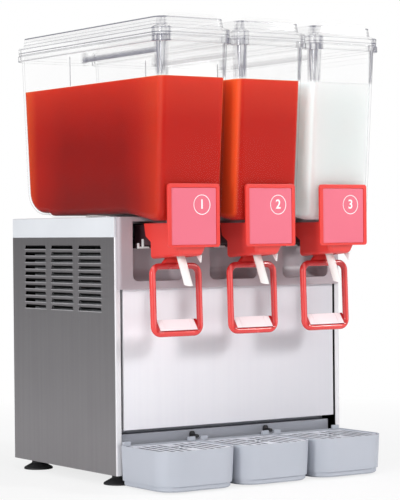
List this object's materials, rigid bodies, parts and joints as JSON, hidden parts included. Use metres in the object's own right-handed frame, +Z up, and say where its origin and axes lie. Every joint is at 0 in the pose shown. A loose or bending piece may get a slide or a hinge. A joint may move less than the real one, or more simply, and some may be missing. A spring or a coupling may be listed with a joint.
{
  "type": "chilled juice dispenser",
  "caption": "Countertop chilled drink dispenser: clear lidded bowls on a louvred steel cabinet, with push-handle taps and drip trays.",
  "frame": {"origin": "on the worktop, under the middle of the whole machine", "axes": "+X to the customer's right, +Y to the back of the machine, +Z up"},
  "size_m": [0.39, 0.404, 0.6432],
  "materials": {
    "brushed_side_steel": "vertical brushed grain, satin",
    "brushed_front_steel": "fine brushed grain, satin",
    "grey_steel": "satin",
    "polished_steel": "polished",
    "bright_steel": "bright zinc",
    "zinc_steel": "galvanised",
    "grey_plastic": "fine satin",
    "pale_grey_plastic": "satin",
    "clear_plastic": "clear, glossy",
    "red_plastic": "glossy",
    "pale_plastic": "satin",
    "tray_plastic": "satin",
    "grid_plastic": "satin",
    "black_plastic": "matt",
    "switch_plastic": "glossy",
    "white_plastic": "satin",
    "black_rubber": "matt",
    "white_silicone": "soft satin",
    "fin_aluminium": "bare",
    "black_enamel": "gloss enamel",
    "copper": "bare copper"
  },
  "bodies": {
    "cabinet": {"base_pan": "zinc_steel", "feet": "black_rubber", "side_panel_left": "brushed_side_steel", "side_panel_right": "brushed_side_steel", "front_panel": "brushed_front_steel", "rear_panel": "brushed_side_steel", "panel_screws": "bright_steel", "tray_rail": "grey_steel", "tray_pegs": "black_plastic", "top_deck": "pale_grey_plastic", "bowl_seals": "white_silicone", "stirrer_motors": "black_plastic", "tap_brackets": "white_plastic", "hinge_pins": "bright_steel", "pinch_tubes": "white_silicone", "condenser": "fin_aluminium", "fan_frame": "zinc_steel", "fan_motor": "black_enamel", "compressor": "black_enamel", "filter_dryer": "copper", "suction_pipe": "copper", "control_panel": "black_plastic", "power_inlet": "black_plastic", "front_fascia": "grey_plastic", "evaporator_1": "polished_steel", "tap_cover_1": "red_plastic", "tap_spring_1": "bright_steel", "evaporator_2": "polished_steel", "tap_cover_2": "red_plastic", "tap_spring_2": "bright_steel", "evaporator_3": "polished_steel", "tap_cover_3": "red_plastic", "tap_spring_3": "bright_steel"},
    "bowl_1": {"bowl_1": "clear_plastic"},
    "lid_1": {"lid_1": "clear_plastic"},
    "stirrer_1": {"stirrer_1": "white_plastic"},
    "tap_handle_1": {"tap_handle_1": "red_plastic", "cup_pad_1": "pale_plastic"},
    "drip_tray_1": {"drip_tray_1": "tray_plastic"},
    "drip_grid_1": {"drip_grid_1": "grid_plastic"},
    "bowl_2": {"bowl_2": "clear_plastic"},
    "lid_2": {"lid_2": "clear_plastic"},
    "stirrer_2": {"stirrer_2": "white_plastic"},
    "tap_handle_2": {"tap_handle_2": "red_plastic", "cup_pad_2": "pale_plastic"},
    "drip_tray_2": {"drip_tray_2": "tray_plastic"},
    "drip_grid_2": {"drip_grid_2": "grid_plastic"},
    "bowl_3": {"bowl_3": "clear_plastic"},
    "lid_3": {"lid_3": "clear_plastic"},
    "stirrer_3": {"stirrer_3": "white_plastic"},
    "tap_handle_3": {"tap_handle_3": "red_plastic", "cup_pad_3": "pale_plastic"},
    "drip_tray_3": {"drip_tray_3": "tray_plastic"},
    "drip_grid_3": {"drip_grid_3": "grid_plastic"},
    "fan_wheel": {"fan_wheel": "black_plastic"},
    "power_switch": {"power_switch": "switch_plastic"},
    "stirrer_switch": {"stirrer_switch": "switch_plastic"},
    "temperature_knob": {"temperature_knob": "black_plastic"}
  },
  "joints": [
    {"name": "bowl_1_lift", "type": "slide", "parent": "cabinet", "child": "bowl_1", "axis": [0, 0, 1], "range_m": [0, 0.12]},
    {"name": "lid_1_lift", "type": "slide", "parent": "bowl_1", "child": "lid_1", "axis": [0, 0, 1], "range_m": [0, 0.08]},
    {"name": "stirrer_1_spin", "type": "hinge", "parent": "cabinet", "child": "stirrer_1", "pos_m": [-0.128, 0.023, 0.44], "axis": [0, 0, 1], "continuous": true},
    {"name": "tap_handle_1_push", "type": "hinge", "parent": "cabinet", "child": "tap_handle_1", "pos_m": [-0.128, -0.13, 0.34], "axis": [1, 0, 0], "range_deg": [0, 16], "stiffness_Nm_per_rad": 2, "springref_deg": -14.32, "deforming": ["tap_spring_1"]},
    {"name": "drip_tray_1_pull", "type": "slide", "parent": "cabinet", "child": "drip_tray_1", "axis": [0, -1, 0], "range_m": [0, 0.12]},
    {"name": "drip_grid_1_lift", "type": "slide", "parent": "drip_tray_1", "child": "drip_grid_1", "axis": [0, 0, 1], "range_m": [0, 0.04]},
    {"name": "bowl_2_lift", "type": "slide", "parent": "cabinet", "child": "bowl_2", "axis": [0, 0, 1], "range_m": [0, 0.12]},
    {"name": "lid_2_lift", "type": "slide", "parent": "bowl_2", "child": "lid_2", "axis": [0, 0, 1], "range_m": [0, 0.08]},
    {"name": "stirrer_2_spin", "type": "hinge", "parent": "cabinet", "child": "stirrer_2", "pos_m": [0, 0.023, 0.44], "axis": [0, 0, 1], "continuous": true},
    {"name": "tap_handle_2_push", "type": "hinge", "parent": "cabinet", "child": "tap_handle_2", "pos_m": [0, -0.13, 0.34], "axis": [1, 0, 0], "range_deg": [0, 16], "stiffness_Nm_per_rad": 2, "springref_deg": -14.32, "deforming": ["tap_spring_2"]},
    {"name": "drip_tray_2_pull", "type": "slide", "parent": "cabinet", "child": "drip_tray_2", "axis": [0, -1, 0], "range_m": [0, 0.12]},
    {"name": "drip_grid_2_lift", "type": "slide", "parent": "drip_tray_2", "child": "drip_grid_2", "axis": [0, 0, 1], "range_m": [0, 0.04]},
    {"name": "bowl_3_lift", "type": "slide", "parent": "cabinet", "child": "bowl_3", "axis": [0, 0, 1], "range_m": [0, 0.12]},
    {"name": "lid_3_lift", "type": "slide", "parent": "bowl_3", "child": "lid_3", "axis": [0, 0, 1], "range_m": [0, 0.08]},
    {"name": "stirrer_3_spin", "type": "hinge", "parent": "cabinet", "child": "stirrer_3", "pos_m": [0.128, 0.023, 0.44], "axis": [0, 0, 1], "continuous": true},
    {"name": "tap_handle_3_push", "type": "hinge", "parent": "cabinet", "child": "tap_handle_3", "pos_m": [0.128, -0.13, 0.34], "axis": [1, 0, 0], "range_deg": [0, 16], "stiffness_Nm_per_rad": 2, "springref_deg": -14.32, "deforming": ["tap_spring_3"]},
    {"name": "drip_tray_3_pull", "type": "slide", "parent": "cabinet", "child": "drip_tray_3", "axis": [0, -1, 0], "range_m": [0, 0.12]},
    {"name": "drip_grid_3_lift", "type": "slide", "parent": "drip_tray_3", "child": "drip_grid_3", "axis": [0, 0, 1], "range_m": [0, 0.04]},
    {"name": "fan_spin", "type": "hinge", "parent": "cabinet", "child": "fan_wheel", "pos_m": [-0.13, 0.0555, 0.22], "axis": [1, 0, 0], "continuous": true},
    {"name": "power_switch_tilt", "type": "hinge", "parent": "cabinet", "child": "power_switch", "pos_m": [-0.045, 0.18, 0.283], "axis": [1, 0, 0], "range_deg": [-16, 0]},
    {"name": "stirrer_switch_tilt", "type": "hinge", "parent": "cabinet", "child": "stirrer_switch", "pos_m": [-0.011, 0.18, 0.283], "axis": [1, 0, 0], "range_deg": [-16, 0]},
    {"name": "temperature_knob_turn", "type": "hinge", "parent": "cabinet", "child": "temperature_knob", "pos_m": [0.039, 0.19, 0.283], "axis": [0, 1, 0], "range_deg": [0, 270]}
  ]
}
